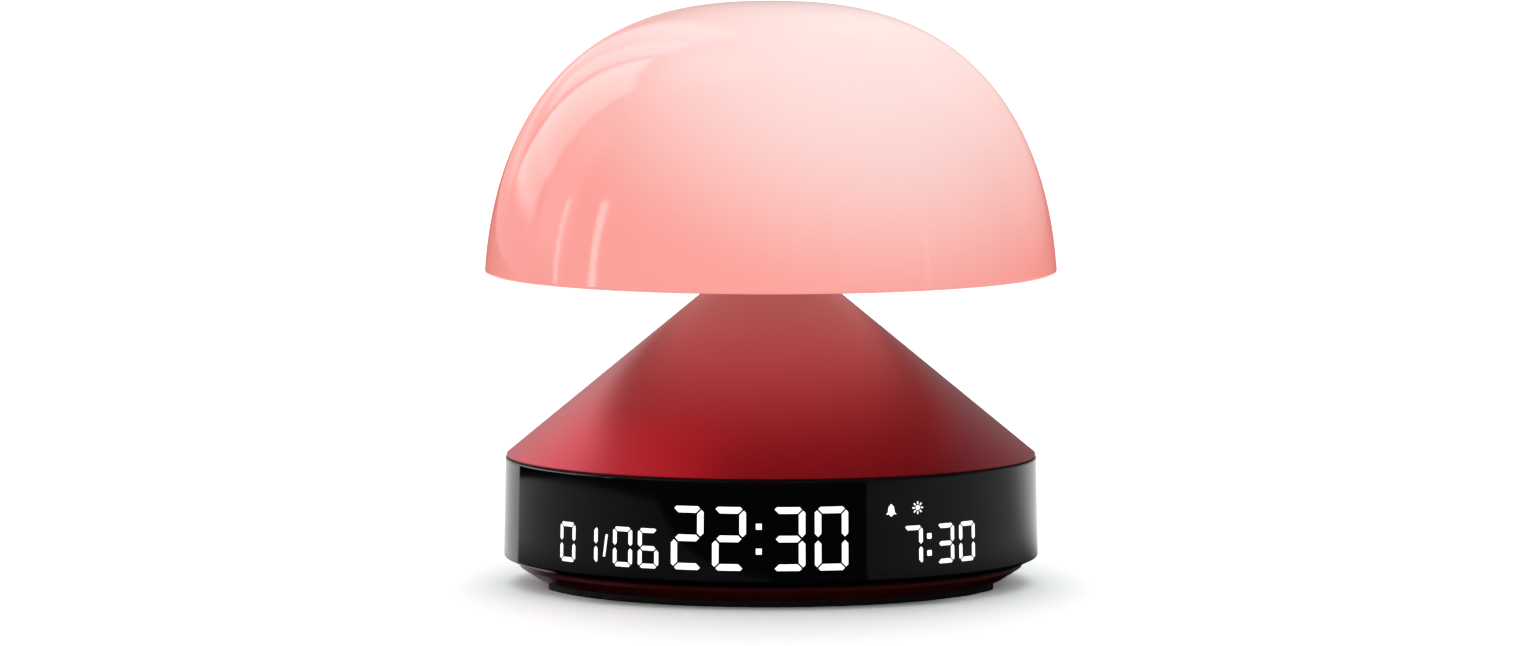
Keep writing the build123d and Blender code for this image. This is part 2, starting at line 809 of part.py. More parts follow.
with BuildPart() as retaining_ring:
    with BuildSketch(Plane.XY.offset(hub_top)):
        Circle(ring_r)
        Circle(spigot_r - groove_depth + seat_gap / 2, mode=Mode.SUBTRACT)
        opening_w = 2 * spigot_r * sin(radians(ring_opening / 2))
        with Locations((0, -ring_r)):
            Rectangle(opening_w, 2 * ring_r, mode=Mode.SUBTRACT)
    extrude(amount=ring_h)
label_and_write(retaining_ring.part, "retaining_ring")

lead_x = spigot_bore_r - 2 * wire_r - 4 * seat_gap
with BuildPart() as press_sensor:
    with BuildSketch(Plane.XY.offset(spigot_top)):
        Circle(sensor_board_r)
        with Locations((sensor_board_r, 0)):
            Rectangle(2 * (sensor_board_r - lead_x + 2 * wire_r), 8 * wire_r, mode=Mode.SUBTRACT)
    extrude(amount=sensor_board_h)
    with BuildSketch(Plane.XY.offset(spigot_top + sensor_board_h)):
        Rectangle(sensor_chip[0], sensor_chip[1])
    extrude(amount=sensor_chip[2])
label_and_write(press_sensor.part, "press_sensor")

# ---- Lamp head: tray with its hub, light board and shade -----------------------------
led_post_places = ring_places(post_led_circle_r, 3, 90)
with BuildPart() as reflector_tray:
    with BuildSketch(Plane.XZ):
        with BuildLine():
            Polyline(
                (spring_bore_r, tray_z),
                (tray_r, tray_z),
                (tray_r, tray_top),
                (hub_r, tray_top),
                (hub_r, hub_top),
                (spigot_r + slide_fit, hub_top),
                (spigot_r + slide_fit, guide_z),
                (spring_bore_r, guide_z),
                close=True,
            )
        make_face()
    revolve(axis=Axis.Z)
    with BuildSketch(Plane.XY.offset(hub_top)):
        with Locations(*led_post_places):
            Circle(post_led_r)
    extrude(amount=post_led_h)
    with BuildSketch(Plane.XY.offset(led_board_z)):
        with Locations(*led_post_places):
            Circle(led_screw_r + pilot_play)
    extrude(amount=led_board_h - led_screw_len - pilot_play, mode=Mode.SUBTRACT)
label_and_write(reflector_tray.part, "reflector_tray")

with BuildPart() as led_board:
    with BuildSketch(Plane.XY.offset(led_board_z)):
        Circle(led_board_r)
        with Locations(*led_post_places):
            Circle(led_screw_r + screw_play / 2, mode=Mode.SUBTRACT)
    extrude(amount=led_board_h)
label_and_write(led_board.part, "led_board")

with BuildPart() as led_packages:
    with BuildSketch(Plane.XY.offset(led_board_top)):
        with PolarLocations(led_circle_r, led_count):
            Rectangle(led_size, led_size)
    extrude(amount=led_h)
label_and_write(led_packages.part, "led_packages")
led_screws = screws(
    led_post_places, led_board_top, led_screw_len, -1, led_screw_r, led_screw_head_r, led_screw_head_h
)
label_and_write(led_screws, "led_screws")

with BuildPart() as sensor_magnet:
    with BuildSketch(Plane.XY.offset(led_board_z)):
        Circle(magnet_r)
    extrude(amount=-magnet_h)
label_and_write(sensor_magnet.part, "sensor_magnet")


def shade_line(radius, height):
    """Wall and crown of the dome as one convex curve from the rim to the axis."""
    run = wall_fullness * height
    lean = radians(shade_lean)
    crown = rim_z + height
    return Bezier(
        (radius, rim_z),
        (radius - run * sin(lean), rim_z + run * cos(lean)),
        (shoulder_fullness * radius, crown),
        (crown_fullness * radius, crown),
        (0, crown),
    )


with BuildPart() as dome_shade:
    with BuildSketch(Plane.XZ) as section:
        with BuildLine() as profile:
            outer = shade_line(shade_r, shade_h)
            inner = shade_line(shade_r - shade_wall, shade_h - shade_wall)
            Line(outer @ 1, inner @ 1)
            Line(inner @ 0, outer @ 0)
        make_face()
        fillet(section.vertices().sort_by_distance((shade_r, rim_z))[0], radius=rim_fillet)
    revolve(axis=Axis.Z)
    with BuildSketch(Plane.XY.offset(rim_z)):
        Circle(tray_r + seat_gap)
    extrude(amount=tray_top - rim_z, mode=Mode.SUBTRACT)
label_and_write(dome_shade.part, "dome_shade")

# ---- Main board ----------------------------------------------------------------------
pillar_places = ring_places(pillar_circle_r, pillar_count, pillar_start)
with BuildPart() as main_board:
    with BuildSketch(Plane.XY.offset(main_board_z)):
        Circle(board_r)
        with Locations(*pillar_places):
            Circle(clear_r, mode=Mode.SUBTRACT)
    extrude(amount=board_h)
label_and_write(main_board.part, "main_board")
label_and_write(screws(pillar_places, main_board_top, board_screw_len, -1), "board_screws")


def blocks(places, size):
    """Equal rectangular parts that stand on the main board."""
    with BuildPart() as group:
        with BuildSketch(Plane.XY.offset(main_board_top)):
            with Locations(*places):
                Rectangle(size[0], size[1])
        extrude(amount=size[2])
    return group.part


lamp_connector = (16.0, 0.0)
display_connector = (0.0, -board_r + connector[1])
key_connector = (0.0, board_r - 3 * connector[1])
label_and_write(blocks([(-12, 6), (-6, -14), (24, 12)], chip), "board_chips")
label_and_write(blocks([lamp_connector, display_connector, key_connector], connector), "board_connectors")
with BuildPart() as capacitors:
    with BuildSketch(Plane.XY.offset(main_board_top)):
        with Locations((-24, 8), (-24, 18), (14, 22), (22, -20)):
            Circle(capacitor_r)
    extrude(amount=capacitor_h)
    fillet(capacitors.edges().group_by(Axis.Z)[-1], radius=capacitor_r / 6)
label_and_write(capacitors.part, "capacitors")

with BuildPart() as head_leads:
    for side in (-1, 1):
        y = side * 1.5 * wire_r
        low_x = lamp_connector[0]
        bend_low = connector_top + wire_bend * 1.5
        bend_high = spigot_seat - spigot_tail - wire_bend
        with BuildLine() as route:
            FilletPolyline(
                (low_x, y, connector_top),
                (low_x, y, bend_low),
                (lead_x, y, bend_high),
                (lead_x, y, led_board_z),
                radius=wire_bend,
            )
        with BuildSketch(Plane(origin=route.line @ 0, z_dir=route.line % 0)):
            Circle(wire_r)
        sweep()
label_and_write(head_leads.part, "head_leads")


def ribbon(points):
    """Flat cable across X = 0, bent along points in the YZ plane."""
    with BuildPart() as strip:
        with BuildSketch(Plane.YZ) as run:
            with BuildLine():
                FilletPolyline(*points, radius=ribbon_bend)
            trace(line_width=ribbon_h)
        extrude(run.sketch, amount=ribbon_w / 2, both=True)
    return strip.part


ribbon_top = connector_top + ribbon_rise
display_back = -(flex_r - flex_h - seat_gap - ribbon_h / 2)
display_ribbon = ribbon(
    [
        (display_back + ribbon_h, shelf_top + ribbon_low),
        (display_back + ribbon_h, ribbon_top),
        (display_connector[1], ribbon_top),
        (display_connector[1], connector_top),
    ]
)
label_and_write(display_ribbon, "display_ribbon")
key_back = key_board_y - key_board_h - ribbon_h / 2
key_ribbon = ribbon(
    [
        (key_back, shelf_top + ribbon_low),
        (key_back, ribbon_top),
        (key_connector[1], ribbon_top),
        (key_connector[1], connector_top),
    ]
)
label_and_write(key_ribbon, "key_ribbon")

# ---- Base cover ----------------------------------------------------------------------
cover_r = band_lip_r - seat_gap
cavity_r = cell_r + 0.5
cavity_top = cell_z + cell_h + 2 * contact_h
lug_r = hatch_r + hatch_lug_out
groove_r = lug_r + run_gap
groove_low = cell_z - 2 * seat_gap - hatch_lug_h
lug_w = 2 * lug_r * sin(radians(hatch_lug_angle / 2))
speaker_ring_r = speaker_r + seat_gap
head_bore = screw_head_h + seat_gap

with BuildPart() as base_cover:
    with BuildSketch(Plane.XZ):
        with BuildLine():
            Polyline(
                (0, cover_z),
                (foot_r, cover_z),
                (cover_r, band_z - cover_lip_h),
                (cover_r, shelf_z),
                (cover_r - cover_rim_w, shelf_z),
                (cover_r - cover_rim_w - 2, floor_z),
                (0, floor_z),
                close=True,
            )
        make_face()
    revolve(axis=Axis.Z)
    with BuildSketch(Plane.XY.offset(floor_z)):
        with Locations(*pillar_places):
            Circle(pillar_r)
    extrude(amount=main_board_z - floor_z)
    with BuildSketch(Plane.XY.offset(floor_z)):
        with Locations((hatch_x, hatch_y)):
            Circle(cavity_r + well_wall)
    extrude(amount=cavity_top + well_roof - floor_z)
    with BuildSketch(Plane.XY.offset(floor_z)):
        with Locations((speaker_x, speaker_y)):
            Circle(speaker_ring_r + speaker_rim)
            Circle(speaker_ring_r, mode=Mode.SUBTRACT)
    extrude(amount=speaker_rim)
    with BuildSketch(Plane.XY.offset(main_board_z)):
        with Locations(*pillar_places):
            Circle(pilot_r)
    extrude(amount=board_h - board_screw_len - pilot_play, mode=Mode.SUBTRACT)
    with BuildSketch(Plane.XY.offset(cover_z)):
        with Locations(*post_places):
            Circle(clear_r)
    extrude(amount=cover_floor, mode=Mode.SUBTRACT)
    with BuildSketch(Plane.XY.offset(cover_z)):
        with Locations(*post_places):
            Circle(screw_head_r + screw_play)
    extrude(amount=head_bore, mode=Mode.SUBTRACT)
    with BuildSketch(Plane.XY.offset(cover_z)):
        with Locations((hatch_x, hatch_y)):
            Circle(hatch_r + run_gap)
            Rectangle(2 * groove_r, lug_w + 4 * run_gap, rotation=hatch_twist)
    extrude(amount=cell_z - cover_z, mode=Mode.SUBTRACT)
    with BuildSketch(Plane.XY.offset(groove_low)):
        with Locations((hatch_x, hatch_y)):
            Circle(groove_r)
    extrude(amount=cell_z - groove_low, mode=Mode.SUBTRACT)
    with BuildSketch(Plane.XY.offset(cell_z)):
        with Locations((hatch_x, hatch_y)):
            Circle(cavity_r)
    extrude(amount=cavity_top - cell_z, mode=Mode.SUBTRACT)
    with BuildSketch(Plane.XY.offset(cover_z)):
        with Locations((speaker_x, speaker_y)):
            Circle(grille_hole_r)
            for ring in range(1, grille_rings + 1):
                with PolarLocations(ring * grille_pitch, 6 * ring):
                    Circle(grille_hole_r)
    extrude(amount=cover_floor, mode=Mode.SUBTRACT)
label_and_write(base_cover.part, "base_cover")
cover_screws = screws(post_places, cover_z + head_bore, cover_screw_len, 1)
label_and_write(cover_screws, "cover_screws")

# ---- Rubber feet: two arcs, open at the sides, which cover the screws -------------------
with BuildPart() as rubber_feet:
    with BuildSketch():
        Circle(foot_r)
        Circle(foot_r - foot_w, mode=Mode.SUBTRACT)
        reach = 2 * foot_r
        spread = reach * tan(radians(foot_opening / 2))
        for side in (1, -1):
            Polygon((0, 0), (side * reach, spread), (side * reach, -spread), align=None, mode=Mode.SUBTRACT)
    extrude(amount=foot_h)
    fillet(rubber_feet.edges().group_by(Axis.Z)[0], radius=foot_h / 4)
label_and_write(rubber_feet.part, "rubber_feet")

# ---- Battery hatch, coin cell and contact ----------------------------------------------
with BuildPart() as battery_hatch:
    with BuildSketch(Plane.XY.offset(cover_z)):
        with Locations((hatch_x, hatch_y)):
            Circle(hatch_r)
    extrude(amount=hatch_h)
    with BuildSketch(Plane.XY.offset(cover_z + hatch_h - hatch_lug_h)):
        with Locations((hatch_x, hatch_y)):
            Circle(lug_r)
            Rectangle(2 * lug_r, lug_w, mode=Mode.INTERSECT)
    extrude(amount=hatch_lug_h)
    with BuildSketch(Plane.XY.offset(cover_z)):
        with Locations((hatch_x, hatch_y)):
            SlotOverall(coin_slot[0], coin_slot[1], rotation=90)
    extrude(amount=coin_slot[2], mode=Mode.SUBTRACT)
label_and_write(battery_hatch.part, "battery_hatch")

with BuildPart() as coin_cell:
    with BuildSketch(Plane.XY.offset(cell_z)):
        with Locations((hatch_x, hatch_y)):
            Circle(cell_r)
    extrude(amount=cell_h)
    fillet(coin_cell.edges(), radius=cell_h / 10)
label_and_write(coin_cell.part, "coin_cell")

with BuildPart() as cell_contact:
    with BuildSketch(Plane.XY.offset(cavity_top)):
        with Locations((hatch_x, hatch_y)):
            Rectangle(2 * cell_r - contact_w, contact_w)
    extrude(amount=-contact_h)
label_and_write(cell_contact.part, "cell_contact")

# ---- Speaker -----------------------------------------------------------------------------
speaker_axis = Axis((speaker_x, speaker_y, 0), (0, 0, 1))
speaker_plane = Plane(origin=(speaker_x, speaker_y, floor_z), x_dir=(1, 0, 0), z_dir=(0, -1, 0))
basket_in = speaker_r - 2
neck_in = magnet_speaker_r + 0.8
with BuildPart() as speaker_frame:
    with BuildSketch(speaker_plane):
        with BuildLine():
            Polyline(
                (basket_in, 0),
                (speaker_r, 0),
                (speaker_r, speaker_rim),
                (basket_in + speaker_basket, speaker_rim),
                (neck_in, speaker_h - speaker_basket),
                (neck_in, speaker_h),
                (neck_in / 2, speaker_h),
                (neck_in / 2, speaker_h - speaker_basket),
                (neck_in - speaker_basket, speaker_h - speaker_basket),
                (basket_in, speaker_rim / 2),
                close=True,
            )
        make_face()
    revolve(axis=speaker_axis)
label_and_write(speaker_frame.part, "speaker_frame")

with BuildPart() as speaker_cone:
    with BuildSketch(speaker_plane):
        paper = 0.3
        edge_r = basket_in - seat_gap
        dust_r = edge_r * 0.35
        dust_z = speaker_h * 0.6
        with BuildLine():
            Polyline(
                (edge_r, paper),
                (edge_r, 2 * paper),
                (dust_r, dust_z),
                (0, dust_z - paper),
                (0, dust_z - 2 * paper),
                (dust_r, dust_z - paper),
                close=True,
            )
        make_face()
    revolve(axis=speaker_axis)
label_and_write(speaker_cone.part, "speaker_cone")

with BuildPart() as speaker_magnet:
    with BuildSketch(Plane.XY.offset(floor_z + speaker_h)):
        with Locations((speaker_x, speaker_y)):
            Circle(magnet_speaker_r)
    extrude(amount=magnet_speaker_h)
    fillet(speaker_magnet.edges().group_by(Axis.Z)[-1], radius=magnet_speaker_h / 8)
label_and_write(speaker_magnet.part, "speaker_magnet")
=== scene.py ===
# %% [markdown]
# # A sunrise alarm clock
# A dome of opal plastic glows over a red metal cone, and the cone stands on a black clock base.
# The shapes come from the imported frame. This lesson gives every one of them its finish, adds the
# spring and the lamp's wires, and sets up a studio to look at it all.

# %% Load the frame
from math import cos, pi, radians, sin

import bpy
import numpy as np
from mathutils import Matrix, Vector


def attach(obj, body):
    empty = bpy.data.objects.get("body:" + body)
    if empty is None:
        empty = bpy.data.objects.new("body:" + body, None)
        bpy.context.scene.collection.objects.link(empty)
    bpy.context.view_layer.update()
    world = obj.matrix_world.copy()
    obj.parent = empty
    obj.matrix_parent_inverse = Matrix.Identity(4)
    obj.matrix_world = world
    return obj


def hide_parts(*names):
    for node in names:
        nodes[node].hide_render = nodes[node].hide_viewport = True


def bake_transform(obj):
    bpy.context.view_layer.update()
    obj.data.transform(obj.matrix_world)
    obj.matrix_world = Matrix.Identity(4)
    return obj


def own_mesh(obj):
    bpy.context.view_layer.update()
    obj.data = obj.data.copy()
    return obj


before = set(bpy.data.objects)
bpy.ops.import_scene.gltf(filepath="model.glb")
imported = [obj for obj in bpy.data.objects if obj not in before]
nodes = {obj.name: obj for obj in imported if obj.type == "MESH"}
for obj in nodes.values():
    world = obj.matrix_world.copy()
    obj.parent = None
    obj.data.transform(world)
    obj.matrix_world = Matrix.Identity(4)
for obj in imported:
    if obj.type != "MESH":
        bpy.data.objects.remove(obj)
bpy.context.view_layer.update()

MM = 0.001

# %% [markdown]
# ## Camera
# A product picture is taken from far away with a long lens, so that round things stay round.
# The camera stands 2.27 m in front of the clock, 250 mm above the table, and looks down a little.

# %% Camera
CAMERA_PLACE = (-0.32 * MM, -2266.7 * MM, 250.1 * MM)
CAMERA_TILT = 4.8135  # degrees below the horizon
LENS = 233.44  # mm, and so is the sensor's width
SENSOR = 36
FAR_CLIP = 50  # m, well behind the clock

camera_data = bpy.data.cameras.new("studio_camera")
camera_data.lens = LENS
camera_data.sensor_width = SENSOR
camera_data.clip_end = FAR_CLIP
camera = bpy.data.objects.new("studio_camera", camera_data)
camera.location = CAMERA_PLACE
camera.rotation_euler = (radians(90 - CAMERA_TILT), 0, 0)
bpy.context.collection.objects.link(camera)
scene = bpy.context.scene
scene.camera = camera
scene.view_settings.view_transform = "Standard"
print(f"camera {-CAMERA_PLACE[1]:.2f} m away, lens {LENS} mm")

# %% [markdown]
# ## Colours and nodes
# Colours are picked as sRGB hex values, the way a paint program shows them. Blender's shaders
# want linear light, so one function turns hex into that. A second function adds a shader node,
# sets it up and links it, which keeps each finish below to a few lines. The kinds of node that
# come up most get short names.


# %% Colour and node helpers
BUMP = "ShaderNodeBump"
MATH = "ShaderNodeMath"
MIX = "ShaderNodeMix"
NOISE = "ShaderNodeTexNoise"
RANGE = "ShaderNodeMapRange"
VECTOR = "ShaderNodeVectorMath"


def linear(hex_colour):
    """Each channel is divided by 255 and taken off the sRGB curve; alpha is 1."""
    channel = np.array([int(hex_colour[i:i + 2], 16) for i in (0, 2, 4)]) / 255
    light = np.where(channel <= 0.04045, channel / 12.92, ((channel + 0.055) / 1.055) ** 2.4)
    return (*light, 1.0)


def add(tree, kind, inputs=None, **settings):
    """Adds a node, gives it its settings, and sets or links each named or numbered input.
    A node given as a value stands for its first output."""
    node = tree.nodes.new(kind)
    for name, value in settings.items():
        setattr(node, name, value)
    for key, value in (inputs or {}).items():
        if isinstance(value, bpy.types.Node):
            value = value.outputs[0]
        if isinstance(value, bpy.types.NodeSocket):
            tree.links.new(value, node.inputs[key])
        else:
            node.inputs[key].default_value = value
    return node


def blank(name, **sockets):
    """A material with one Principled shader; the sockets are set on the shader itself."""
    material = bpy.data.materials.new(name)
    material.use_nodes = True
    tree = material.node_tree
    tree.nodes.clear()
    values = {k.replace("_", " "): v for k, v in sockets.items()}
    shader = add(tree, "ShaderNodeBsdfPrincipled", values)
    add(tree, "ShaderNodeOutputMaterial", {"Surface": shader})
    where = add(tree, "ShaderNodeTexCoord").outputs["Object"]
    return material, tree, shader, where


def feed(tree, shader, **outputs):
    """Links each output to the shader's socket of that name."""
    for name, output in outputs.items():
        tree.links.new(output, shader.inputs[name.replace("_", " ")])


finishes = {}
print("helpers ready")

# %% [markdown]
# ## Directions and soft windows
# Some finishes depend on where a point lies, such as the way it faces round the axis. One function
# gives the two angles of a direction. Another makes a soft window, which opens and closes smoothly
# along a value, so that light or colour can be kept to a sector without a hard edge.


# %% Directions and soft windows
SOFT = {"interpolation_type": "SMOOTHSTEP"}


def angles(tree, direction):
    """Azimuth and elevation in degrees: arc tangent of x over -y, and arc sine of z."""
    parts = add(tree, "ShaderNodeSeparateXYZ", {0: direction}).outputs
    front = add(tree, MATH, {0: parts["Y"], 1: -1.0}, operation="MULTIPLY")
    turn = add(tree, MATH, {0: parts["X"], 1: front}, operation="ARCTAN2")
    rise = add(tree, MATH, {0: parts["Z"]}, operation="ARCSINE")
    return [add(tree, MATH, {0: a}, operation="DEGREES") for a in (turn, rise)]


def window(tree, value, opens, closes):
    """Rises smoothly from 0 to 1 over the first pair of values and falls to 0 over the second."""
    rise = add(tree, RANGE, {"Value": value, "From Min": opens[0], "From Max": opens[1]}, **SOFT)
    fall = add(tree, RANGE, {"Value": value, "From Min": closes[1], "From Max": closes[0]}, **SOFT)
    return add(tree, MATH, {0: rise, 1: fall}, operation="MULTIPLY")


print("angles and windows ready")

# %% [markdown]
# ## Moulded plastics
# Most hidden pieces are injection moulded. The steel mould is spark eroded, which leaves a fine
# grain on the plastic, and the melt cools a little unevenly, so the colour drifts by a shade over
# a few centimetres. A noise texture at the grain's real size drives the bump and the roughness,
# and a broad one mixes two close colours. Real grain is 0.1 to 0.3 mm; it is drawn at 0.4 mm or
# more, because finer grain than that can't show at this distance.

# %% Moulded plastic
DRIFT = 30 * MM


def moulded(slot, name, hex_colour, deep_hex, roughness, grain=0.4, depth=0.02, spread=0.08,
            ior=1.5, **sockets):
    """Base colour drifts between two values; grain and depth in millimetres shape the bump."""
    material, tree, shader, where = blank(name, IOR=ior, **sockets)
    broad = add(tree, NOISE, {"Vector": where, "Scale": 1 / DRIFT, "Detail": 2.0})
    colour = add(tree, MIX, {0: broad, 6: linear(hex_colour), 7: linear(deep_hex)},
                 data_type="RGBA")
    fine = add(tree, NOISE, {"Vector": where, "Scale": 1 / (grain * MM), "Detail": 3.0})
    rough = add(tree, RANGE, {"Value": fine, "To Min": roughness - spread,
                              "To Max": roughness + spread})
    bump = add(tree, BUMP, {"Height": fine, "Strength": 0.5, "Distance": depth * MM})
    feed(tree, shader, Base_Color=colour.outputs[2], Roughness=rough.outputs[0],
         Normal=bump.outputs[0])
    finishes[slot] = material


# ABS of the chassis: black, spark-eroded grain.
moulded("chassis_black", "abs_black_textured", "1B1B1D", "222224", 0.55)
# ABS of the light chamber: white, dull, so that it spreads light evenly.
moulded("tray_white", "abs_white_matt", "F1EEEA", "E6E2DD", 0.6)
# Acrylic-topped ABS of the rear keys: black and polished, a touch less than the band.
moulded("key_black", "abs_black_polished", "101012", "151517", 0.22,
        grain=1.2, depth=0.004, spread=0.04)
# Silicone of the key mat: grey and waxy.
moulded("mat_silicone", "silicone_grey", "A9ACAE", "9DA0A3", 0.5, ior=1.42)
# Epoxy of the chips: transfer moulded, dull black.
moulded("chip_black", "epoxy_moulded_black", "1E1F21", "26272A", 0.6)
# PVC sleeve of the capacitors: shrunk on, so it is smooth and dark.
moulded("capacitor_sleeve", "pvc_sleeve_dark", "1B2233", "222A3D", 0.3,
        grain=1.0, depth=0.005, spread=0.05)
# Nylon of the connectors: natural, slightly yellow.
moulded("connector_nylon", "nylon_natural", "E9E4D2", "DDD6C1", 0.45)
# Paper of the speaker's cone: pressed fibre, coarse and dull.
moulded("cone_paper", "paper_pressed_dark", "26252A", "343238", 0.85, grain=0.9, depth=0.08)
# Rubber of the feet: matt, with the fine dust that rubber gathers.
moulded("foot_rubber", "rubber_matt_black", "0D0C0D", "141314", 0.8,
        grain=0.6, depth=0.04, ior=1.52)
# Sintered ferrite of the speaker's magnet: a dull grey ceramic, so it is no metal to the eye.
moulded("ferrite", "ferrite_sintered", "3A3B3D", "303133", 0.7, grain=0.7, depth=0.03)
print(f"{len(finishes)} moulded finishes")

# %% [markdown]
# ## Lacquered burgundy base cover
# The cover under the band is ABS in the cone's red, darker, and half hidden in shadow. It is
# sprayed with a satin lacquer that holds fine metal flake, so part of what it mirrors is tinted:
# a metallic share of 0.6 gives that, and the rest is the lacquer's own dark colour.

# %% Base cover
moulded("cover_burgundy", "abs_lacquered_burgundy", "61141D", "57121A", 0.3,
        grain=0.5, depth=0.006, spread=0.05, Metallic=0.6)
print("cover finished in", finishes["cover_burgundy"].name)

# %% [markdown]
# ## Metals
# A metal has no colour of its own under the surface: all that is seen is the reflection, tinted.
# The metallic value is 1 and the default IOR stays. What tells one metal from another here is the
# roughness and the marks of the process: a drawn wire has lines along it, a zinc bath leaves
# faint spangle, nickel plate is smooth.


# %% Plain metals
def metal(slot, name, hex_colour, roughness, mark, depth=0.004, spread=0.06):
    """Two noises, one at the size of the marks (mm) and one ten times as broad, vary the gloss."""
    material, tree, shader, where = blank(name, Metallic=1.0, Base_Color=linear(hex_colour))
    marks = add(tree, NOISE, {"Vector": where, "Scale": 1 / (mark * MM), "Detail": 2.0})
    cloud = add(tree, NOISE, {"Vector": where, "Scale": 0.1 / (mark * MM)})
    both = add(tree, MATH, {0: marks, 1: cloud}, operation="MULTIPLY")
    rough = add(tree, RANGE, {"Value": both, "From Min": 0.1, "From Max": 0.4,
                              "To Min": roughness - spread, "To Max": roughness + spread})
    bump = add(tree, BUMP, {"Height": marks, "Strength": 0.4, "Distance": depth * MM})
    feed(tree, shader, Roughness=rough.outputs[0], Normal=bump.outputs[0])
    finishes[slot] = material


# Steel with a zinc bath: screws, spigot, nut and speaker frame. The spangle is about 1.5 mm.
metal("steel_zinc", "steel_zinc_plated", "C9CACB", 0.34, 1.5)
# Spring steel, hard drawn and oiled: darker, with fine draw marks.
metal("steel_spring", "steel_spring_drawn", "8E8F92", 0.28, 0.5)
# Nickel over brass or over a magnet: smooth and a little yellow.
metal("nickel_plate", "nickel_plated", "CFC8BC", 0.2, 0.8, spread=0.04)
# Stainless can of the coin cell: pressed, with a faint grain.
metal("cell_steel", "steel_stainless_pressed", "D3D2CE", 0.3, 0.9)
print(f"{len(finishes)} finishes")

# %% [markdown]
# ## Anodised aluminium cone
# The cone is spun aluminium, blasted with fine glass beads and anodised red. The beads leave tiny
# dents, which spread the reflections to a satin sheen, and the dye sits in a clear oxide layer
# over the metal. So the metal below is a deep saturated red, and a clear coat with the oxide's
# gloss lies over it and carries the white part of the highlights. Towards the neck the red pales
# to rose: that is painted light, the lamp's glow that the neck catches under the shade, put into
# the base colour, and height on the cone mixes the two. The dents are about 0.1 mm; they are
# drawn at 0.35 mm, so that the grain shows.

# %% Red anodised aluminium
CONE_RED = "B7112C"
CONE_RED_DEEP = "AF0F2A"
CONE_PAINTED_NECK_LIGHT = "B57B78"
DENT = 0.35 * MM
DYE_DRIFT = 40 * MM
NECK_LIGHT_FROM = 31 * MM
NECK_LIGHT_TO = 69 * MM
NECK_LIGHT_POWER = 1.6
SATIN = (0.4, 0.5)

material, tree, shader, where = blank("aluminium_anodised_red", Metallic=1.0, Coat_Weight=0.22,
                                      Coat_Roughness=0.34, Coat_IOR=1.6)
dents = add(tree, NOISE, {"Vector": where, "Scale": 1 / DENT, "Detail": 2.0})
cloud = add(tree, NOISE, {"Vector": where, "Scale": 1 / DYE_DRIFT, "Detail": 1.0})
red = add(tree, MIX, {0: cloud, 6: linear(CONE_RED), 7: linear(CONE_RED_DEEP)}, data_type="RGBA")
height = add(tree, "ShaderNodeSeparateXYZ", {0: where}).outputs["Z"]
# painted light: the base colour pales to rose towards the neck, standing in for the lamp's glow
# there
rise = add(tree, RANGE, {"Value": height, "From Min": NECK_LIGHT_FROM, "From Max": NECK_LIGHT_TO})
painted_neck_light = add(tree, MATH, {0: rise, 1: NECK_LIGHT_POWER}, operation="POWER")
colour = add(tree, MIX, {0: painted_neck_light, 6: red.outputs[2], 7: linear(CONE_PAINTED_NECK_LIGHT)}, data_type="RGBA")
satin = add(tree, RANGE, {"Value": dents, "To Min": SATIN[0], "To Max": SATIN[1]})
bump = add(tree, BUMP, {"Height": dents, "Strength": 0.35, "Distance": 0.01 * MM})
feed(tree, shader, Base_Color=colour.outputs[2], Roughness=satin.outputs[0],
     Normal=bump.outputs[0])
finishes["red_anodised"] = material
print("cone finished in", material.name)

# %% [markdown]
# ## Opal shade
# The shade is polycarbonate with a white filler, polished, and lit from inside by the lamp's
# board. Light that comes through plastic has no sharp source, so the glow is drawn as emission:
# a warm salmon, the lamp's own glow, towards the rim and the far side, and a pale patch on top
# and a little towards the display's right. The pale patch is partly the lamp's glow and partly
# painted light, standing in for the studio's light on the front of the shade. The direction to a
# point from low on the lamp's axis, compared with the patch's direction, gives that mix. The
# surface keeps the gloss of polished plastic. Solid polycarbonate has an IOR of 1.58. The 1.35
# used here was set because it gives the window's reflection the right strength on the glow.

# %% Opal polycarbonate
LAMP_CENTRE = (0, 0, 40.9 * MM)
PALE_PATCH_AIM = Vector((0.188, -0.326, 0.927)).normalized()
GLOW_PALE_AND_PAINTED_LIGHT = "C9CFCE"
GLOW_WARM = "CA6861"
GLOW_EDGES = (0.67, 1.13)
SHADE_HAZE = 25 * MM
SHADE_GLOSS = (0.05, 0.09)

material, tree, shader, where = blank("polycarbonate_opal_lit", IOR=1.35,
                                      Base_Color=linear("BC9590"), Emission_Strength=1.0)
from_lamp = add(tree, VECTOR, {0: where, 1: LAMP_CENTRE}, operation="SUBTRACT")
heading = add(tree, VECTOR, {0: from_lamp}, operation="NORMALIZE")
# painted light: the pale patch on top and towards the display's right is partly the lamp's glow and
# partly the studio's light painted into the emission
towards = add(tree, VECTOR, {0: heading, 1: PALE_PATCH_AIM}, operation="DOT_PRODUCT").outputs["Value"]
spread = add(tree, RANGE, {"Value": towards, "From Min": GLOW_EDGES[0], "From Max": GLOW_EDGES[1]},
             **SOFT)
glow = add(tree, MIX, {0: spread, 6: linear(GLOW_WARM), 7: linear(GLOW_PALE_AND_PAINTED_LIGHT)}, data_type="RGBA")
haze = add(tree, NOISE, {"Vector": where, "Scale": 1 / SHADE_HAZE, "Detail": 1.0})
gloss = add(tree, RANGE, {"Value": haze, "To Min": SHADE_GLOSS[0], "To Max": SHADE_GLOSS[1]})
feed(tree, shader, Emission_Color=glow.outputs[2], Roughness=gloss.outputs[0])
finishes["shade_polycarbonate"] = material
print("shade lit towards", [round(v, 2) for v in PALE_PATCH_AIM])
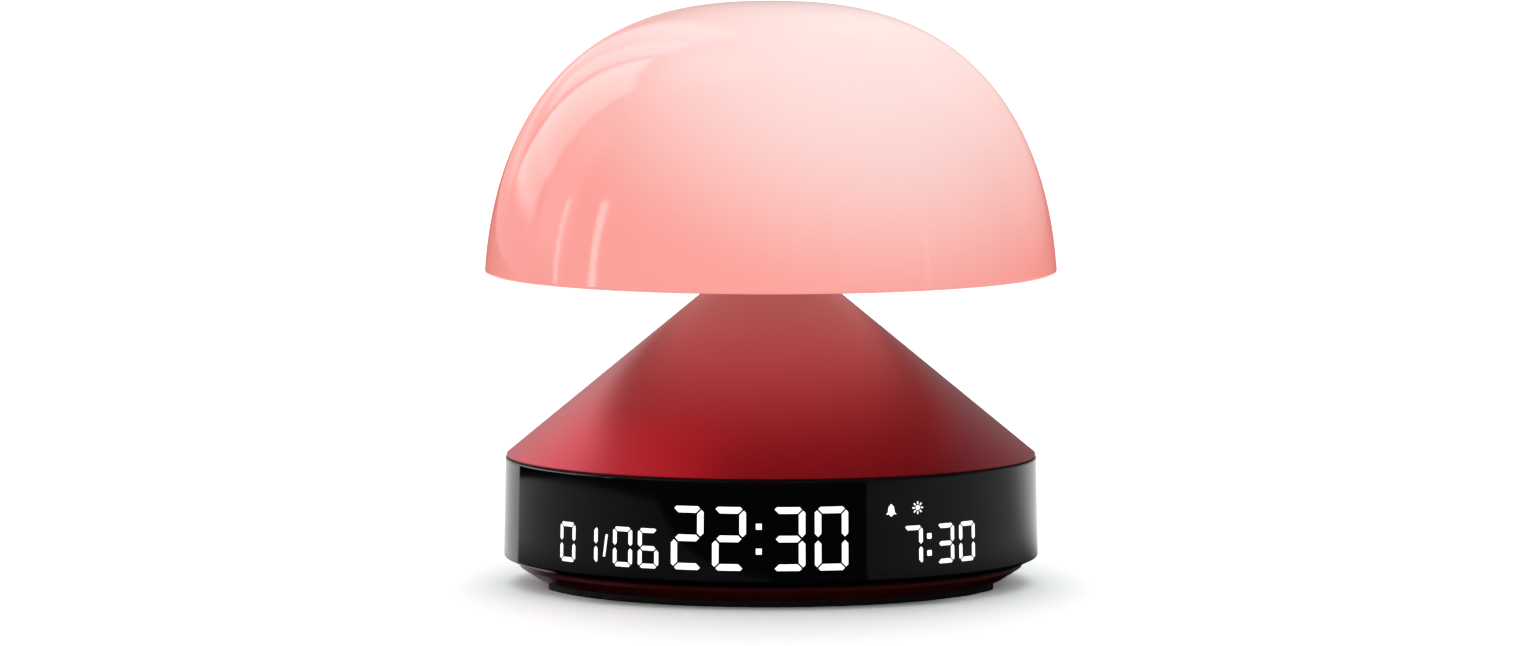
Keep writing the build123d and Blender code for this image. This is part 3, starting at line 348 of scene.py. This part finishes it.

# %% [markdown]
# ## Tray under the shade
# The tray that closes the shade from below carries a painted glow: emission that stands in for
# the lamp's light under the shade, so that the cone mirrors it. It is brightest and palest near
# the neck, under the lamp's board, and dims towards the rim, so the distance from the axis mixes
# two colours. At the front left a painted highlight lights the rim, and the cone mirrors it low on
# its left. It is a dull moulding, so it needs no gloss.

# %% Opal tray
TRAY_PAINTED_GLOW_INNER = "E5BCB8"
TRAY_PAINTED_GLOW_OUTER = "572828"
TRAY_RIM_PAINTED_HIGHLIGHT = "FFA89F"
DIM_FROM, DIM_TO = 30 * MM, 62 * MM
RIM_FROM, RIM_TO = 54 * MM, 61 * MM
RIM_OPENS, RIM_CLOSES = (-80, -58), (-32, -8)  # degrees of azimuth
RIM_HIGHLIGHT_BOOST = 1.6

material, tree, shader, where = blank("tray_glow_painted", IOR=1.5,
                                      Base_Color=linear("B4716B"), Roughness=0.6)
# painted light: this emission stands in for the lamp's light that the cone mirrors
flat = add(tree, VECTOR, {0: where, 1: (1, 1, 0)}, operation="MULTIPLY")
radius = add(tree, VECTOR, {0: flat}, operation="LENGTH").outputs["Value"]
outward = add(tree, RANGE, {"Value": radius, "From Min": DIM_FROM, "From Max": DIM_TO}, **SOFT)
glow = add(tree, MIX, {0: outward, 6: linear(TRAY_PAINTED_GLOW_INNER), 7: linear(TRAY_PAINTED_GLOW_OUTER)}, data_type="RGBA")
# painted highlight: a glowing patch on the rim at the front left, for the highlight low on the
# cone's left
azimuth, _ = angles(tree, where)
sector = window(tree, azimuth, RIM_OPENS, RIM_CLOSES)
edge = add(tree, RANGE, {"Value": radius, "From Min": RIM_FROM, "From Max": RIM_TO}, **SOFT)
rim = add(tree, MATH, {0: sector, 1: edge}, operation="MULTIPLY")
glow = add(tree, MIX, {0: rim, 6: glow.outputs[2], 7: linear(TRAY_RIM_PAINTED_HIGHLIGHT)}, data_type="RGBA")
strength = add(tree, MATH, {0: rim, 1: RIM_HIGHLIGHT_BOOST, 2: 1.0}, operation="MULTIPLY_ADD")
feed(tree, shader, Emission_Color=glow.outputs[2], Emission_Strength=strength.outputs[0])
tray_painted_glow = material
print("tray finished in", material.name)

# %% [markdown]
# ## Black band
# The band is smoked polycarbonate polished like a piano, so it is almost a mirror: what shows on
# it is the studio. A mirror shows every facet of a mesh, and round the key holes the facets are
# long and thin. So where a facet lies on the band's wall, the finish takes the true direction of
# a round wall, with the wall's slight lean. The display's dark windows have the same finish and
# nearly vanish in the band.

# %% Black band
WALL_LEAN = 0.02
ON_WALL = 0.985  # cosine of the largest angle between a facet and the round wall
BAND_HAZE = 18 * MM
BAND_GLOSS = (0.03, 0.06)

material, tree, shader, where = blank("polycarbonate_smoked_black", IOR=1.5,
                                      Base_Color=linear("060607"))
flat = add(tree, VECTOR, {0: where, 1: (1, 1, 0)}, operation="MULTIPLY")
outward = add(tree, VECTOR, {0: flat}, operation="NORMALIZE")
leaning = add(tree, VECTOR, {0: outward, 1: (0, 0, WALL_LEAN)}, operation="ADD")
round_wall = add(tree, VECTOR, {0: leaning}, operation="NORMALIZE")
facet = add(tree, "ShaderNodeNewGeometry").outputs
match = add(tree, VECTOR, {0: facet["True Normal"], 1: round_wall}, operation="DOT_PRODUCT")
on_wall = add(tree, MATH, {0: match.outputs["Value"], 1: ON_WALL}, operation="GREATER_THAN")
normal = add(tree, MIX, {0: on_wall, 4: facet["Normal"], 5: round_wall}, data_type="VECTOR")
haze = add(tree, NOISE, {"Vector": where, "Scale": 1 / BAND_HAZE, "Detail": 2.0})
gloss = add(tree, RANGE, {"Value": haze, "To Min": BAND_GLOSS[0], "To Max": BAND_GLOSS[1]})
feed(tree, shader, Normal=normal.outputs[1], Roughness=gloss.outputs[0])
finishes["band_black"] = material
finishes["character_dark"] = material
print("band finished in", material.name)

# %% [markdown]
# ## Lit characters
# The lit characters are opal windows in the band, and the light behind them is white. Filled
# plastic is never quite even, so the white varies by a hair, over about the width of a stroke.

# %% Lit characters
WINDOW_CLOUD = 1.5 * MM

material, tree, shader, where = blank("polycarbonate_window_lit", IOR=1.5,
                                      Base_Color=linear("DADADA"), Emission_Strength=0.95,
                                      Roughness=0.2)
cloud = add(tree, NOISE, {"Vector": where, "Scale": 1 / WINDOW_CLOUD, "Detail": 1.0})
white = add(tree, MIX, {0: cloud, 6: linear("FFFFFF"), 7: linear("F6F8FC")}, data_type="RGBA")
feed(tree, shader, Emission_Color=white.outputs[2])
finishes["character_lit"] = material
print("characters finished in", material.name)

# %% [markdown]
# ## Boards, films and wires
# The circuit boards are glass fibre under green solder mask, with copper tracks that show through
# as paler lines. The lamp's board has an aluminium core under white mask. The flat cables are
# white film over conductors 1 mm apart, the display's film is amber polyimide, and the light
# chips are small white frames filled with yellow phosphor resin. A wave texture draws the lines.
# At a scale of 1 its wave turns by 20 radians in each metre, and a line comes with each full turn
# of 2 pi, so the scale follows from the pitch of the lines.

# %% Boards and films
WAVE_TURN = 20
LINE_SHARE = 0.5
LINE_BLUR = 0.1


def film(slot, name, hex_colour, line_hex, pitch, roughness, axis="X"):
    """Straight lines of a second colour every pitch (mm), half as wide as the pitch."""
    material, tree, shader, where = blank(name, IOR=1.52, Roughness=roughness)
    scale = 2 * pi / (WAVE_TURN * pitch * MM)
    lines = add(tree, "ShaderNodeTexWave", {"Vector": where, "Scale": scale, "Distortion": 0.0},
                bands_direction=axis)
    sharp = add(tree, RANGE, {"Value": lines.outputs["Fac"], "From Min": LINE_SHARE - LINE_BLUR,
                              "From Max": LINE_SHARE + LINE_BLUR})
    colour = add(tree, MIX, {0: sharp, 6: linear(hex_colour), 7: linear(line_hex)},
                 data_type="RGBA")
    bump = add(tree, BUMP, {"Height": sharp, "Strength": 0.3, "Distance": 0.03 * MM})
    feed(tree, shader, Base_Color=colour.outputs[2], Normal=bump.outputs[0])
    finishes[slot] = material


# Glass-fibre board: green mask, tracks 1.3 mm apart.
film("board_green", "glass_fibre_green_mask", "0E5A33", "1C7445", 1.3, 0.35)
# Aluminium-core board: white mask, wide copper areas that barely show.
film("board_white", "aluminium_core_white_mask", "EDEDE9", "E2E2DC", 6.0, 0.35)
# Polyimide film with copper lines.
film("flex_amber", "polyimide_film_amber", "B5702A", "C98A3B", 1.0, 0.3, axis="Z")
# Flat flexible cable: conductors 1 mm apart under white film.
film("ribbon_white", "polyester_cable_white", "EEEDE8", "C9C8C4", 1.0, 0.45)
# Phosphor resin in a white frame; it shines when the lamp is on.
moulded("led_package", "phosphor_resin_yellow", "F4E9A8", "EFE08C", 0.4, grain=0.5,
        Emission_Color=linear("FFE9D6"), Emission_Strength=1.0)
# PVC of the lamp's leads: extruded, bright red, slightly glossy.
moulded("wire_red", "pvc_wire_red", "B01A1A", "A11616", 0.35, grain=0.8, depth=0.006)
print(f"{len(finishes)} finishes in all")

# %% [markdown]
# ## Finishes on the frame's pieces
# Each piece of the frame names a slot for its finish. The finish made above goes into it. The
# tray shares its slot with the white light chamber, so it gets its own finish afterwards.

# %% Assign finishes
unfinished = set()
for piece in nodes.values():
    for place in piece.material_slots:
        slot_name = place.material.name.split(".")[0]
        if slot_name in finishes:
            place.material = finishes[slot_name]
        else:
            unfinished.add(slot_name)
# the tray's own finish is its painted glow
nodes["reflector_tray"].material_slots[0].material = tray_painted_glow
print("without a finish:", sorted(unfinished) or "none")

# %% [markdown]
# ## Wire
# A spring and a lead are both a round wire along a path, so one function makes any of them: it
# carries a circle along the path and joins each circle to the next.


# %% Wire along a path
def wire(name, path, side, radius, finish, around=14):
    """Each ring is a circle about a path point. One axis of it is the side direction made square
    to the path, the other is square to both. Neighbouring rings are joined and both ends closed."""
    along = np.gradient(path, axis=0)
    along /= np.linalg.norm(along, axis=1, keepdims=True)
    first = side - (side * along).sum(axis=1, keepdims=True) * along
    first /= np.linalg.norm(first, axis=1, keepdims=True)
    second = np.cross(along, first)
    turn = np.linspace(0, 2 * pi, around, endpoint=False)[None, :, None]
    circle = np.cos(turn) * first[:, None] + np.sin(turn) * second[:, None]
    rings = path[:, None] + radius * circle
    here = np.arange(len(path) * around).reshape(len(path), around)
    ahead = np.roll(here, -1, axis=1)
    quads = np.stack([here[:-1], ahead[:-1], ahead[1:], here[1:]], axis=-1).reshape(-1, 4)
    ends = [here[0, ::-1].tolist(), here[-1].tolist()]
    mesh = bpy.data.meshes.new(name)
    mesh.from_pydata(rings.reshape(-1, 3), [], quads.tolist() + ends)
    mesh.polygons.foreach_set("use_smooth", np.arange(len(mesh.polygons)) < len(quads))
    mesh.materials.append(finishes[finish])
    piece = bpy.data.objects.new(name, mesh)
    bpy.context.collection.objects.link(piece)
    return piece


print("wire maker ready")

# %% [markdown]
# ## Return spring
# Under the shade a coil spring round the spigot lifts the lamp head again after a press. The frame
# has a plain coil there. A real pressure spring lies flat at both ends, because its last turns
# are wound tight, so it stands square. Its path is a helix whose rise per turn is small in the
# first and the last turn. When the head goes down 1 mm the real coil shortens towards its lower
# end; here it is drawn at rest and stays with the base.

# %% Return spring
SPRING_RADIUS = 9.8 * MM
SPRING_WIRE = 0.45 * MM
SPRING_FOOT = 73.2 * MM
SPRING_TURNS = (0, 1, 5.5, 6.5)
SPRING_RISE = (0, 1.0, 8.8, 9.8)  # mm at each of those turns
SPRING_POINTS = 288

turns = np.linspace(0, SPRING_TURNS[-1], SPRING_POINTS)
rise = np.interp(turns, SPRING_TURNS, SPRING_RISE) * MM
outward = np.stack([np.cos(2 * pi * turns), np.sin(2 * pi * turns), 0 * turns], axis=1)
coil = SPRING_RADIUS * outward
coil[:, 2] = SPRING_FOOT + SPRING_WIRE + rise
spring = wire("spring_coil", coil, outward, SPRING_WIRE, "steel_spring")
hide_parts("return_spring")
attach(spring, "root")
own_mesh(spring)
coil_ends = [round(float(v) / MM, 2) for v in (coil[:, 2].min(), coil[:, 2].max())]
print("the spring's wire runs from", coil_ends[0], "to", coil_ends[1], "mm above the table")

# %% [markdown]
# ## Lamp leads
# Two insulated wires bring the power from the main board up through the spigot to the lamp's
# board. A wire leaves its plug straight up and leans over in one easy curve to the spigot's bore.
# In the real clock the lower end stays with the base and the upper end goes down with the head, so
# the wires bend; here they are drawn at rest.

# %% Lamp leads
LEAD_RADIUS = 0.6 * MM
LEAD_SPAN = (24.5, 95.5)
LEAN_FROM, LEAN_HEIGHT = 31.0, 31.6
PLUG_X, BORE_X = 16.0, 4.8

height = np.linspace(*LEAD_SPAN, 90)
lean = np.clip((height - LEAN_FROM) / LEAN_HEIGHT, 0, 1)
reach = PLUG_X + (BORE_X - PLUG_X) * lean ** 2 * (3 - 2 * lean)
for name, offset in (("lead_plus", -0.9), ("lead_minus", 0.9)):
    route = np.stack([reach, 0 * reach + offset, height], axis=1) * MM
    lead = wire(name, route, np.array([[0.0, 1.0, 0.0]]), LEAD_RADIUS, "wire_red")
    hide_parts("head_leads")
    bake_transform(lead)
lead_length = float(np.linalg.norm(np.diff(route, axis=0), axis=1).sum()) / MM
print(f"leads {lead_length:.1f} mm long")

# %% [markdown]
# ## Studio
# The studio is a plain one: large soft panels in front, behind and overhead light the clock, and
# the sides are dim. The shiny pieces show the room itself, and that is set out as panels.
# A panel is a range of azimuth and of elevation in degrees as seen from the clock, where azimuth 0
# is the camera, +90 the right and 180 straight behind. A window with a mullion stands at the back
# left, its panes dimmer near the sill and far out, narrow strips stand to both sides, and the
# front is dark, which keeps the band black.

# %% Panels of the studio
# azimuth from, to; elevation from, to; softness of the edge in degrees; radiance
PANELS = {
    "window_far_pane": (-171, -158, 7, 52, 2.5, 0.8),
    "window_outer_pane": (-158, -146.5, 16, 52, 2.5, 1.5),
    "window_outer_low": (-158, -146.5, 5, 16, 2.5, 0.6),
    "window_inner_pane": (-143.5, -115, 16, 49, 2.2, 2.8),
    "window_inner_low": (-143.5, -118, 8, 16, 2.2, 2.2),
    "wall_left_low": (-176, -113, -2, 9, 3.0, 0.35),
    "wall_left": (-113, -92, 4, 38, 4.0, 1.0),
    "ceiling_left": (-150, -95, 58, 82, 8.0, 0.8),
    "strip_thin_left": (-98, -95.8, -3, 17, 0.7, 5.0),
    "strip_left": (-78.4, -74.8, -3, 21, 1.0, 8.5),
    "strip_right": (65.8, 67.2, -3, 17, 0.8, 1.7),
    "wall_back_right": (120, 175, 2, 45, 6.0, 0.35),
}


def panorama(tree, azimuth, elevation):
    """Sum of the panels, each a window in azimuth times one in elevation times its radiance."""
    total = 0.0
    for left, right, low, high, soft, radiance in PANELS.values():
        across = window(tree, azimuth, (left - soft, left + soft), (right - soft, right + soft))
        upright = window(tree, elevation, (low - soft, low + soft), (high - soft, high + soft))
        panel = add(tree, MATH, {0: across, 1: upright}, operation="MULTIPLY")
        total = add(tree, MATH, {0: panel, 1: radiance, 2: total}, operation="MULTIPLY_ADD")
    return total


print(f"{len(PANELS)} panels")

# %% [markdown]
# ## World
# Rays that go straight to the camera see white. Rays that bounced off something shiny see the
# panels over a dim room. All other rays carry the light: it falls off from the middle of the front
# and of the back towards the sides as the fourth power of the azimuth's cosine, and the back is
# the brighter. That leaves a short soft shadow in front of the clock and almost none beside it.
# This light is weaker near the horizon, and from 50 degrees up the overhead panel takes over.

# %% World
FRONT = 1.2
BACK = 2.75
OVERHEAD = 1.08
SIDES = 0.27
LOW_SHARE = 0.45
FULL_FROM = 45  # degrees of elevation, and so are the next two
TOP_FROM, TOP_TO = 50, 75

world = bpy.data.worlds.new("studio")
world.use_nodes = True
scene.world = world
tree = world.node_tree
tree.nodes.clear()
direction = add(tree, "ShaderNodeTexCoord").outputs["Generated"]
azimuth, elevation = angles(tree, direction)
turn = add(tree, MATH, {0: azimuth}, operation="RADIANS")
facing = add(tree, MATH, {0: turn}, operation="COSINE")
squared = add(tree, MATH, {0: facing, 1: facing}, operation="MULTIPLY")
lobes = add(tree, MATH, {0: squared, 1: squared}, operation="MULTIPLY")
balance = add(tree, RANGE, {"Value": facing, "From Min": -1, "From Max": 1,
                            "To Min": BACK, "To Max": FRONT})
lobes = add(tree, MATH, {0: lobes, 1: balance}, operation="MULTIPLY")
climb = add(tree, RANGE, {"Value": elevation, "From Min": 0, "From Max": FULL_FROM,
                          "To Min": LOW_SHARE, "To Max": 1.0})
below_top = add(tree, RANGE, {"Value": elevation, "From Min": TOP_TO, "From Max": TOP_FROM},
                **SOFT)
rising = add(tree, MATH, {0: climb, 1: below_top}, operation="MULTIPLY")
light = add(tree, MATH, {0: lobes, 1: rising, 2: SIDES}, operation="MULTIPLY_ADD")
on_top = add(tree, RANGE, {"Value": elevation, "From Min": TOP_FROM, "From Max": TOP_TO}, **SOFT)
light = add(tree, MATH, {0: on_top, 1: OVERHEAD, 2: light}, operation="MULTIPLY_ADD")
print("light set out")

# %% World for shiny pieces and for the camera
ROOM = 0.06

seen = add(tree, MATH, {0: panorama(tree, azimuth, elevation), 1: ROOM}, operation="ADD")
ray = add(tree, "ShaderNodeLightPath").outputs
shiny = add(tree, MATH, {0: ray["Is Glossy Ray"], 1: ray["Is Transmission Ray"]},
            operation="MAXIMUM")
strength = add(tree, MIX, {0: shiny, 2: light, 3: seen})
strength = add(tree, MIX, {0: ray["Is Camera Ray"], 2: strength, 3: 1.0})
surround = add(tree, "ShaderNodeBackground", {"Color": (1, 1, 1, 1), "Strength": strength})
add(tree, "ShaderNodeOutputWorld", {"Surface": surround})
print(f"world of {len(tree.nodes)} nodes")

# %% [markdown]
# ## Table
# The clock stands on a plain white table that runs on without an edge. Its finish needs to know
# where a point lies on it, so two functions measure that: how far a point is from a centre, and on
# which side of a straight line it is.

# %% Table top
TABLE_SIZE = 30.0
corners = np.array([(-1, -1, 0), (1, -1, 0), (1, 1, 0), (-1, 1, 0)]) * TABLE_SIZE
mesh = bpy.data.meshes.new("table")
mesh.from_pydata(corners.tolist(), [], [(0, 1, 2, 3)])
table = bpy.data.objects.new("table", mesh)
bpy.context.collection.objects.link(table)
print("table", 2 * TABLE_SIZE, "m wide")


# %% Places on the table
def side_of(tree, where, point, heading, soft=1.5):
    """0 to 1 across a line through a point (mm) along an azimuth, 1 on the side of greater
    azimuth. The dot product with the line's normal is compared with the point's."""
    across = Vector((cos(radians(heading)), sin(radians(heading)), 0))
    line = across.dot(Vector((*point, 0)))
    reach = add(tree, VECTOR, {0: where, 1: across}, operation="DOT_PRODUCT").outputs["Value"]
    return add(tree, RANGE, {"Value": reach, "From Min": (line - soft) * MM,
                             "From Max": (line + soft) * MM}, **SOFT)


def distance_step(tree, where, zero, one, centre=(0, 0)):
    """Goes smoothly from 0 at one distance from the centre to 1 at another (mm)."""
    place = (centre[0] * MM, centre[1] * MM, 0)
    distance = add(tree, VECTOR, {0: where, 1: place}, operation="DISTANCE").outputs["Value"]
    return add(tree, RANGE, {"Value": distance, "From Min": zero * MM, "From Max": one * MM},
               **SOFT)


print("table measures ready")

# %% [markdown]
# ## What the shiny pieces see of the table
# To the shiny pieces the table shows grey patches at the sides, bright ones at the back, and is
# dark in front and right under the clock. Straight lines, circles and sectors bound a patch, and
# its brightness may change with the azimuth. All of these are numbers between 0 and 1, so a patch
# is simply their product.

# %% Sectors and brightness of the patches
# azimuth where a sector is closed, and where it is open
SECTORS = {
    "right": (-1, 1),
    "left": (1, -1),
    "behind_left": (-66, -74),
    "behind_right": (112, 143),
}
# azimuth from, to; brightness there and there
FADES = {
    "left_back": (-180, -130, 0.62, 0.95),
    "left_rear": (-180, -130, 0.38, 0.0),
    "left_grey": (-47, -122, 0.10, 0.37),
    "right_grey": (40, 116, 0.14, 0.38),
}

material = bpy.data.materials.new("laminate_white")
material.use_nodes = True
mesh.materials.append(material)
tree = material.node_tree
tree.nodes.clear()
where = add(tree, "ShaderNodeTexCoord").outputs["Object"]
azimuth, _ = angles(tree, where)
sector = {name: add(tree, RANGE, {"Value": azimuth, "From Min": shut, "From Max": wide}, **SOFT)
          for name, (shut, wide) in SECTORS.items()}
fade = {name: add(tree, RANGE, {"Value": azimuth, "From Min": start, "From Max": end,
                                "To Min": first, "To Max": last})
        for name, (start, end, first, last) in FADES.items()}
print(f"{len(sector)} sectors, {len(fade)} fades")

# %% Patches on the table
# a line is a point (mm) and an azimuth; turned round, its other side counts
LEFT_LINE = ((-57.2, -20.2), -141.0)
LEFT_LINE_TURNED = ((-57.2, -20.2), 39.0)
RIGHT_LINE = ((21.5, -56.7), 41.6)
FRONT_LINE = ((-40, -180), 112.5)
# distances (mm) from zero to one
OFF_CLOCK = (50, 190)
OFF_BASE = (30, 110)
IN_CIRCLE = (307, 295)
FAR_EDGE = (650, 450)
CIRCLE_CENTRE = (-110, -60)
RIGHT_BACK = 0.62

off_clock = distance_step(tree, where, *OFF_CLOCK)
off_base = distance_step(tree, where, *OFF_BASE)
in_circle = distance_step(tree, where, *IN_CIRCLE, centre=CIRCLE_CENTRE)
factors = {
    "left_back": (side_of(tree, where, *LEFT_LINE_TURNED), sector["behind_left"], sector["left"],
                  off_base, fade["left_back"]),
    "left_rear": (sector["left"], off_clock, fade["left_rear"]),
    "left_grey": (side_of(tree, where, *LEFT_LINE), sector["left"], off_clock, in_circle,
                  fade["left_grey"], side_of(tree, where, *FRONT_LINE, soft=6)),
    "right_back": (sector["behind_right"], sector["right"], off_base, RIGHT_BACK),
    "right_grey": (side_of(tree, where, *RIGHT_LINE), sector["right"], off_clock,
                   fade["right_grey"]),
}
patches = 0.0
for values in factors.values():
    patch = 1.0
    for value in values:
        patch = add(tree, MATH, {0: patch, 1: value}, operation="MULTIPLY")
    patches = add(tree, MATH, {0: patches, 1: patch}, operation="ADD")
far_edge = distance_step(tree, where, *FAR_EDGE)
patches = add(tree, MATH, {0: patches, 1: far_edge}, operation="MULTIPLY")
print(f"{len(factors)} patches")

# %% [markdown]
# ## What the camera sees of the table
# A picture on white is exposed so that the table itself burns out and only the clock's shadow
# stays on it: rays to the camera see the table's colour times that gain, and the light on the
# clock stays as it is. Even light alone leaves the shadow under the band's edge too dark at both
# sides, so the gain is raised in a ring there. The tint takes out the faint pink that the shade
# throws on the table.

# %% Table finish
TABLE_WHITE = linear("EBEBEB")
TABLE_GAIN = 1.48
TABLE_TINT = (0.96, 1.0, 1.0)
EDGE_LIFT = 1.3
EDGE_RING = (63, 52)  # distances (mm) from zero to one
ASIDE_FROM, ASIDE_TO = 38, 56  # degrees to either side of the front

aside = add(tree, MATH, {0: azimuth}, operation="ABSOLUTE")
beside = add(tree, RANGE, {"Value": aside, "From Min": ASIDE_FROM, "From Max": ASIDE_TO}, **SOFT)
under_edge = distance_step(tree, where, *EDGE_RING)
lifted = add(tree, MATH, {0: under_edge, 1: beside}, operation="MULTIPLY")
gain = add(tree, MATH, {0: lifted, 1: EDGE_LIFT * TABLE_GAIN, 2: TABLE_GAIN},
           operation="MULTIPLY_ADD")
tinted = [channel * tint for channel, tint in zip(TABLE_WHITE, TABLE_TINT)]
exposed = add(tree, VECTOR, {0: tinted, "Scale": gain}, operation="SCALE")
ray = add(tree, "ShaderNodeLightPath").outputs
white = add(tree, MIX, {0: ray["Is Camera Ray"], 6: TABLE_WHITE, 7: exposed}, data_type="RGBA")
diffuse = add(tree, "ShaderNodeBsdfDiffuse", {"Color": white.outputs[2]})
mirrored = add(tree, "ShaderNodeEmission", {"Strength": patches})
shiny = add(tree, MATH, {0: ray["Is Glossy Ray"], 1: ray["Is Transmission Ray"]},
            operation="MAXIMUM")
surface = add(tree, "ShaderNodeMixShader", {0: shiny, 1: diffuse, 2: mirrored})
add(tree, "ShaderNodeOutputMaterial", {"Surface": surface})
print(f"table finished in {material.name}, {len(tree.nodes)} nodes")
